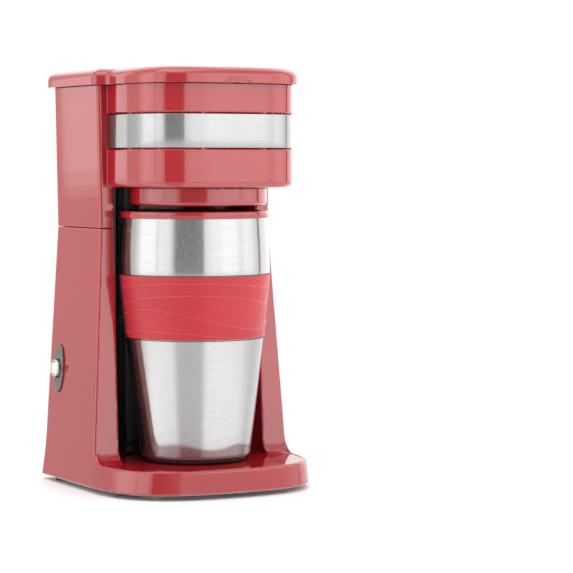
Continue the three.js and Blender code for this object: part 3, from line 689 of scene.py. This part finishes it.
lid = field_mesh(
    "lid_shell",
    lid_field,
    lines((-62, 62, 0.75)),
    lines((-70, -59, 0.7), (-59, 58, 1.3), (58, 70.5, 0.5)),
    lines((235.4, 236.6, 0.2), (236.6, 247, 0.6)),
)
finish_piece(lid, "red_lid_scoop_shade", "lid", "red_gloss", "lid_cover")

drip = field_mesh(
    "drip_housing_shell",
    drip_field,
    lines((-41.5, 41.5, 1)),
    lines((-58.5, 24.5, 1)),
    lines((164.6, 177.8, 0.6)),
)
finish_piece(drip, "red_gloss", "housing", "red_gloss", "drip_housing")


def head_path(inset, steps=150):
    """The head's outline from the column's left side round to its right."""
    w, deep, p = HEAD_HALF - inset, HEAD_SHOULDER - (HEAD_FRONT + inset), HEAD_POWER
    straight = np.linspace(Y_COLUMN - 0.3, HEAD_SHOULDER + 0.5, 8)
    pts = [(-w, y) for y in straight]
    for a in np.linspace(0.0, math.pi, steps):
        c, s = math.cos(a), max(math.sin(a), 0)
        pts.append((-math.copysign(w * abs(c) ** (2 / p), c), HEAD_SHOULDER - deep * s ** (2 / p)))
    pts += [(w, y) for y in np.linspace(HEAD_SHOULDER + 0.5, Y_COLUMN - 0.3, 8)]
    return np.array(pts)


def band_piece():
    face, back = 0.1, 1.1  # how far inside the head's outline
    corners = [(0.6, BAND_LOW), (face, BAND_LOW), (face, BAND_HIGH), (0.6, BAND_HIGH)]
    section = soften(corners, [0.3, 0.3], 4) + [(back, BAND_HIGH), (back, BAND_LOW)]
    paths = {}
    for inset, _ in section:
        if inset not in paths:
            paths[inset] = head_path(inset)
    rings = [[(*paths[inset][i], z) for inset, z in section] for i in range(len(paths[face]))]
    obj = rings_mesh("steel_band", [r[::-1] for r in rings])
    return sharpen(obj, 50)


finish_piece(band_piece(), "band_steel", "housing", "steel", "head_band")


def lining_piece():
    """Black lining: an upright shell round the back of the bay."""
    outer, front_edge = BAY_R - 0.3, 6
    start = math.asin((front_edge - BAY_Y) / outer)
    angles = np.linspace(start, math.pi - start, 120)
    low, high = Z_PLATFORM + 0.3, Z_HEAD - 0.3
    section = [(outer, low), (outer, high), (outer - 1.2, high), (outer - 1.6, high - 0.4)]
    section += [(outer - 1.6, low + 0.4), (outer - 1.2, low)]
    rings = [[(r * math.cos(a), BAY_Y + r * math.sin(a), z) for r, z in section] for a in angles]
    return sharpen(rings_mesh("bay_lining_shell", rings), 40)


finish_piece(lining_piece(), "black_gloss", "housing", "black_gloss", "bay_lining")

# ---- Travel mug ---------------------------------------------------------------------------
MUG_LOW, MUG_HIGH = 19.0, 159.3
MUG_WIDEST = 127  # height above which the side turns in again
SLEEVE_LOW, SLEEVE_HIGH = box_mm("mug_sleeve")[0][2], box_mm("mug_sleeve")[1][2]


def mug_radius(z):
    top_r, turned_in, foot_r, leans_out, bulge = 42.7, 1.5, 32.4, 11.8, 0.16
    if z > MUG_WIDEST:
        return top_r + turned_in * math.cos((z - MUG_WIDEST) / (MUG_HIGH - MUG_WIDEST) * math.pi / 2)
    t = (z - MUG_LOW) / (MUG_WIDEST - MUG_LOW)
    return foot_r + leans_out * (t + bulge * t * (1 - t))


def wall(z0, z1, n, inset=0.0):
    return [(mug_radius(z) - inset, z) for z in np.linspace(z0, z1, n)]


def mug_shell_piece():
    foot = [(0.0, MUG_LOW + 0.5), (25, MUG_LOW + 0.5), (27.5, MUG_LOW), (30.6, MUG_LOW)]
    foot += [(31.5, MUG_LOW + 0.25), (32.15, MUG_LOW + 0.9), (mug_radius(MUG_LOW + 1.8), MUG_LOW + 1.8)]
    outer = foot + wall(MUG_LOW + 2.6, SLEEVE_LOW - 0.7, 26)
    outer += wall(SLEEVE_LOW - 0.3, SLEEVE_HIGH + 0.3, 8, 0.8)
    outer += wall(SLEEVE_HIGH + 0.7, MUG_HIGH, 20)
    inner = wall(MUG_HIGH, MUG_LOW + 2, 16, 1.7)
    return lathe("mug_steel_shell", outer + inner + [(0.0, MUG_LOW + 2)], (0, MUG_Y, 0), 160)


finish_piece(sharpen(mug_shell_piece(), 30), "mug_steel", "mug", "steel", "mug_shell")


def mug_liner_piece():
    low, top = MUG_LOW + 4, MUG_HIGH
    lip = soften(
        [
            (mug_radius(top) - 3, top + 0.3), (43.1, top + 0.3), (43.1, top - 0.5), (43.7, top - 0.4),
            (43.95, top + 1.6), (43.5, top + 3.7), (39.4, top + 3.7), (mug_radius(top) - 4.8, top + 1),
        ],
        [0.1, 0.1, 0.3, 0.8, 1.0, 1.0],
        5,
    )
    outer = [(0.0, low)] + wall(low, top - 1, 14, 3) + lip
    inner = wall(top - 1, low + 2, 14, 4.8)
    return lathe("mug_inner_cup", outer + inner + [(0.0, low + 2)], (0, MUG_Y, 0), 160)


finish_piece(sharpen(mug_liner_piece(), 40), "red_gloss", "mug", "red_gloss", "mug_liner")

# Raised lines on the grip. Each starts as a height, from 0 to 1 of the grip, and adds waves of
# (size, turns, degrees of the crest), measured from the side that faces the camera.
GRIP_LINES = [
    (0.76, (0.13, 1, 0)),
    (0.455, (0.25, 1, 2)),
    (0.289, (0.05, 1, -42), (0.13, 2, -70)),
    (-0.06, (0.18, 1, -32)),
    (-0.15, (0.6, 1, 178), (0.05, 3, 40)),
    (-0.3, (0.6, 1, 150), (0.07, 2, 100)),
    (-0.2, (0.9, 1, 200), (0.05, 2, 10)),
]
RIDGE, RIDGE_WIDE = 0.46, 0.4
GRIP_PROUD = 0.33


def sleeve_piece():
    around, rows = 400, 130
    zs = np.linspace(SLEEVE_LOW, SLEEVE_HIGH, rows)
    angles = np.arange(around) * 2 * math.pi / around
    turned = np.degrees(angles) + 90 + CAMERA_HEADING
    high = SLEEVE_HIGH - SLEEVE_LOW
    lift = np.zeros((rows, around))
    for middle, *waves in GRIP_LINES:
        path = middle + sum(size * np.cos(np.radians(turned * turns - crest)) for size, turns, crest in waves)
        ridge = np.exp(-(((zs[:, None] - SLEEVE_LOW - high * path) / RIDGE_WIDE) ** 2))
        lift = np.maximum(lift, ridge)
    radius = np.array([mug_radius(z) for z in zs])
    edge = np.minimum(zs - SLEEVE_LOW, SLEEVE_HIGH - zs)
    ease = np.clip(edge / 0.5, 0, 1) ** 0.5
    proud = GRIP_PROUD * ease - 0.01
    rings = []
    for i, z in enumerate(zs):
        r = radius[i] + proud[i] + RIDGE * lift[i] * ease[i]
        rings.append([(r[k] * math.cos(a), MUG_Y + r[k] * math.sin(a), z) for k, a in enumerate(angles)])
    for i in (rows - 1, rows // 2, 0):
        r = radius[i] - 0.5
        rings.append([(r * math.cos(a), MUG_Y + r * math.sin(a), zs[i]) for a in angles])
    obj = rings_mesh("mug_grip", rings, closed=True)
    # Each point's lift is kept so the rubber's colour can paint a highlight along the raised lines.
    crest = obj.data.attributes.new("ridge", "FLOAT", "POINT")
    crest.data.foreach_set("value", np.concatenate([lift.ravel(), np.zeros(3 * around)]))
    return sharpen(obj, 60)


finish_piece(sleeve_piece(), "red_rubber", "mug", "red_rubber", "mug_sleeve")

pad_low, pad_high = box_mm("mug_base_pad")[0][2], box_mm("mug_base_pad")[1][2]
pad = lathe(
    "mug_base_ring",
    soften([(0, pad_low), (29.6, pad_low), (30.4, pad_high), (0, pad_high)], [0.5, 0.3]),
    (0, MUG_Y, 0),
)
finish_piece(sharpen(pad), "foot_rubber", "mug", "foot_rubber", "mug_base_pad")

# ---- Feet ---------------------------------------------------------------------------------
for node in [n for n in frame["nodes"] if n.startswith("foot_")]:
    lo, hi = box_mm(node)
    centre = ((lo[0] + hi[0]) / 2, (lo[1] + hi[1]) / 2, 0)
    r = (hi[0] - lo[0]) / 2
    sole = [(0, 0.25), (r - 2.6, 0.25), (r - 2.2, 0), (r - 0.8, 0)]
    profile = soften([*sole, (r, hi[2]), (0, hi[2])], [0.1, 0.2, 0.7, 0.3])
    foot = lathe(node + "_rubber", profile, centre, 64)
    finish_piece(sharpen(foot), "foot_rubber", "housing", "foot_rubber", node)

# ---- Button -------------------------------------------------------------------------------
LEAN = math.atan(TAPER)
BUTTON_X = -half_width(BUTTON_Z)


def on_side(obj):
    """From the button's own axes to its place on the leaning side wall."""
    c, s = math.cos(LEAN), math.sin(LEAN)
    for v in obj.data.vertices:
        x, y, z = v.co / MM
        v.co = Vector((BUTTON_X + x * c + z * s, BUTTON_Y + y, BUTTON_Z - x * s + z * c)) * MM
    return obj


def ellipse(a, b, x, n=96):
    t = np.arange(n) * 2 * math.pi / n
    return np.stack([np.full(n, x), a * np.cos(t), b * np.sin(t)], 1)


def plate_piece():
    w, h, hole = 6.4, 14.3, BUTTON_R + 0.4
    rings = [
        ellipse(w, h, -0.3), ellipse(w, h, -0.8),
        ellipse(w - 0.2, h - 0.2, -1.1), ellipse(w - 0.5, h - 0.6, -1.3),
        ellipse(hole + 0.15, hole + 0.35, -1.5), ellipse(hole, hole, -1.35), ellipse(hole, hole, -0.3),
    ]
    return sharpen(rings_mesh("button_plate_oval", [r[::-1] for r in rings], closed=True), 50)


finish_piece(on_side(plate_piece()), "grey_plate", "housing", "grey_plate", "button_plate")
cap_profile = soften(
    [(0, -3.0), (3.8, -3.0), (3.95, -3.95), (4.5, -4.2), (5.1, -3.8), (5.3, -3.1), (5.3, 3), (0, 3)],
    [0.15, 0.3, 0.4, 0.5, 0.4, 0.3],
)
cap = lathe("button_ring", cap_profile, (0, 0, 0), 96, "x")
finish_piece(sharpen(on_side(cap), 50), "chrome", "button", "chrome", "button_cap")
dome = [(3.6 * math.sin(a), -3.36 - 0.5 * math.cos(a)) for a in np.linspace(0.1, math.pi / 2, 14)]
lens = lathe(
    "button_window",
    [(0, -3.86), *dome, (3.6, -3.3), (0, -3.3)],
    (0, 0, 0),
    64,
    "x",
)
finish_piece(sharpen(on_side(lens), 60), "window", "button", "clear_grey", "button_lens")

# ---- Brewing pieces under the lid ---------------------------------------------------------
BASKET_TOP = box_mm("brew_basket")[1][2]
BASKET_LOW = Z_HEAD + WALL + 0.3


def basket_piece():
    top = BASKET_TOP
    profile = [
        (3.4, BASKET_LOW - 9), (5.4, BASKET_LOW - 9), (5.4, BASKET_LOW), (28, BASKET_LOW),
        (34, top - 2), (35.6, top - 2), (35.6, top), (32, top), (26, BASKET_LOW + 2), (3.4, BASKET_LOW + 2),
    ]
    full = soften([*profile, profile[0]], [0.3, 0.6, 1.5, 0.8, 0.4, 0.6, 0.6, 1.5, 0.4], 4)[:-1]
    return sharpen(lathe("brew_basket_cup", full, (0, BASKET_Y, 0), 96), 50)


finish_piece(basket_piece(), "black_matte", "housing", "black_matte", "brew_basket")


def filter_piece():
    low, top = box_mm("mesh_filter")[0][2], box_mm("mesh_filter")[1][2] - 1.8
    profile = [
        (0, low), (25, low), (31, top), (34.8, top),
        (34.8, top + 1.8), (30, top + 1.8), (24.2, low + 1), (0, low + 1),
    ]
    full = soften(profile, [1.2, 0.3, 0.5, 0.5, 0.5, 1.2], 4)
    return sharpen(lathe("mesh_filter_cup", full, (0, BASKET_Y, 0), 96), 50)


finish_piece(filter_piece(), "nylon_mesh", "housing", "nylon_mesh", "mesh_filter")

# ---- CAD pieces that stay -----------------------------------------------------------------
KEPT = {
    "black_matte": [
        "lid_water_channel", "spray_head", "riser_tube", "switch_body", "base_plate", "filter_tab",
    ],
    "foot_rubber": ["switch_wire", "heater_wire", "cord_bushing"],
    "steel": ["hinge_pin_left", "hinge_pin_right", "heating_rod", "thermal_fuse", "boiler_bracket"]
    + [f"base_screw_{i}" for i in range(1, 5)],
    "clear_grey": ["water_reservoir"],
    "silicone": ["riser_seal", "inlet_hose", "riser_hose"],
    "grey_plastic": ["inlet_valve", "thermostat"],
    "cast_aluminium": ["boiler_tube"],
}
for look, nodes in KEPT.items():
    for node in nodes:
        obj = frame["nodes"][node]
        for slot_ in obj.material_slots:
            slot_.material = LOOKS[look]
        ease = obj.modifiers.new("edges", "BEVEL")
        ease.width = 0.3 * MM
        ease.segments = 2
        ease.limit_method = "ANGLE"
        ease.angle_limit = math.radians(50)
        ease.harden_normals = True

# ---- Floor, world and lights --------------------------------------------------------------
def floor_material():
    k = Look("floor_pale", (0.86, 0.86, 0.86), 0.55)
    k.vary_color(k.noise(3), 0.985, 1.015)
    k.vary_roughness(k.noise(20), 0.05)
    coord = k.node("ShaderNodeTexCoord")
    length = k.node("ShaderNodeVectorMath", operation="LENGTH")
    k.link(coord.outputs["Object"], length.inputs[0])
    fade = k.spread(length.outputs["Value"], 1, 0, FLOOR_SOLID, FLOOR_R)
    path = k.node("ShaderNodeLightPath")
    fade = k.math("MULTIPLY", fade, k.spread(path.outputs["Is Glossy Ray"], 1.0, 0.15, 0, 1))
    clear = k.node("ShaderNodeBsdfTransparent")
    mix = k.node("ShaderNodeMixShader")
    k.link(fade, mix.inputs[0])
    k.link(clear.outputs[0], mix.inputs[1])
    k.link(k.p.outputs[0], mix.inputs[2])
    k.link(mix.outputs[0], k.t.nodes["Material Output"].inputs["Surface"])
    return k.m


FLOOR_SOLID, FLOOR_R = 0.2, 0.42
turns = np.arange(96) * math.pi / 48
rings = [[(r * math.cos(a), r * math.sin(a), 0) for a in turns] for r in (0.1, 200, 440)]
floor = rings_mesh("floor", rings, cap=False)
floor.data.materials.append(floor_material())

# Brightness round the room, by heading in degrees from +Y towards +X: at eye level, and steeply below it.
HORIZON = [
    (0, 1.2), (35, 1.4), (50, 2.0), (78, 2.0), (85, 1.7), (86.5, 0.0), (89.5, 0.0), (91, 1.5),
    (99, 1.8), (108, 2.3), (123, 2.5), (128, 2.1), (133, 2.2), (140, 2.6), (160, 2.7), (167, 2.4),
    (180, 2.3), (190, 2.0), (194, 0.4), (235, 0.36), (241, 1.6), (246, 2.2), (262, 2.4),
    (265.5, 1.8), (269, 2.5), (280, 2.7), (295, 2.7), (303, 1.9), (312, 1.25), (331, 0.93),
    (359.9, 1.0),
]
BELOW_EYE, OVERHEAD, BACKDROP = 1.35, 1.1, 1.0  # just below eye level, high up, and as the camera sees it
TABLE = [
    (0, 1.9), (60, 2.0), (80, 1.6), (88, 1.3), (96, 1.8), (120, 2.3), (185, 2.3), (196, 1.2), (236, 1.2),
    (246, 2.1), (295, 2.5), (305, 1.7), (313, 1.2), (331, 0.93), (350, 1.0), (359.9, 1.6),
]


def world():
    w = bpy.data.worlds.new("studio")
    bpy.context.scene.world = w
    w.use_nodes = True
    t = w.node_tree
    t.nodes.clear()

    def node(kind, **settings):
        n = t.nodes.new(kind)
        for key, value in settings.items():
            setattr(n, key, value)
        return n

    def map_range(value, a, b, to0=0.0, to1=1.0):
        r = node("ShaderNodeMapRange", interpolation_type="SMOOTHSTEP")
        t.links.new(value, r.inputs["Value"])
        for key, v in zip(("From Min", "From Max", "To Min", "To Max"), (a, b, to0, to1)):
            r.inputs[key].default_value = v
        return r.outputs["Result"]

    def mix(factor, a, b):
        m = node("ShaderNodeMix", data_type="FLOAT")
        t.links.new(factor, m.inputs["Factor"])
        for value, socket in ((a, m.inputs["A"]), (b, m.inputs["B"])):
            if isinstance(value, float):
                socket.default_value = value
            else:
                t.links.new(value, socket)
        return m.outputs["Result"]

    def ramp(stops, value):
        r = node("ShaderNodeValToRGB")
        t.links.new(value, r.inputs["Fac"])
        stops = sorted((((a + 180) % 360) / 360, level) for a, level in stops)
        bar = r.color_ramp
        while len(bar.elements) < len(stops):
            bar.elements.new(0.5)
        for element, (at, level) in zip(bar.elements, stops):
            element.position = at
            element.color = (level, level, level, 1)
        return r.outputs["Color"]

    coord = node("ShaderNodeTexCoord")
    axes = node("ShaderNodeSeparateXYZ")
    t.links.new(coord.outputs["Generated"], axes.inputs[0])
    turn = node("ShaderNodeMath", operation="ARCTAN2")
    t.links.new(axes.outputs["X"], turn.inputs[0])
    t.links.new(axes.outputs["Y"], turn.inputs[1])
    heading01 = map_linear(node, t, turn.outputs[0])
    level = mix(map_range(axes.outputs["Z"], -0.06, -0.11), ramp(HORIZON, heading01), BELOW_EYE)
    level = mix(map_range(axes.outputs["Z"], -0.17, -0.27), level, ramp(TABLE, heading01))
    level = mix(map_range(axes.outputs["Z"], 0.5, 0.8), level, OVERHEAD)
    path = node("ShaderNodeLightPath")
    level = mix(path.outputs["Is Camera Ray"], level, BACKDROP)
    shine = node("ShaderNodeBackground")
    shine.inputs["Color"].default_value = (1, 1, 1, 1)
    t.links.new(level, shine.inputs["Strength"])
    out = node("ShaderNodeOutputWorld")
    t.links.new(shine.outputs[0], out.inputs[0])


def map_linear(node, t, value):
    """An angle from -pi to pi as a number from 0 to 1."""
    r = node("ShaderNodeMapRange")
    t.links.new(value, r.inputs["Value"])
    r.inputs["From Min"].default_value = -math.pi
    r.inputs["From Max"].default_value = math.pi
    return r.outputs["Result"]


world()


def area(name, at, size, power, aim=(0, 0, 0.1)):
    light = bpy.data.lights.new(name, "AREA")
    light.shape = "RECTANGLE"
    light.size, light.size_y = size
    light.energy = power
    obj = bpy.data.objects.new(name, light)
    obj.location = at
    obj.rotation_euler = (Vector(aim) - Vector(at)).to_track_quat("-Z", "Y").to_euler()
    bpy.context.collection.objects.link(obj)
    return obj


area("top_softbox", (-0.2, -0.1, 1.5), (1.3, 1.3), 9)

# A tall pale card behind the left side, fading out towards its foot: only the upper side wall mirrors it.
CARD = {"x": -0.177, "y": 0.251, "wide": 0.064, "radiance": 0.85}
for low, high, share in ((0.163, 0.171, 0.33), (0.171, 0.181, 0.67), (0.181, 0.42, 1.0)):
    at = (CARD["x"], CARD["y"], (low + high) / 2)
    power = CARD["radiance"] * share * math.pi * CARD["wide"] * (high - low)
    strip = area(f"card_{low}", at, (CARD["wide"], high - low), power, (-0.057, 0.032, at[2]))
    strip.visible_camera = False

bpy.context.scene.view_settings.view_transform = "Standard"
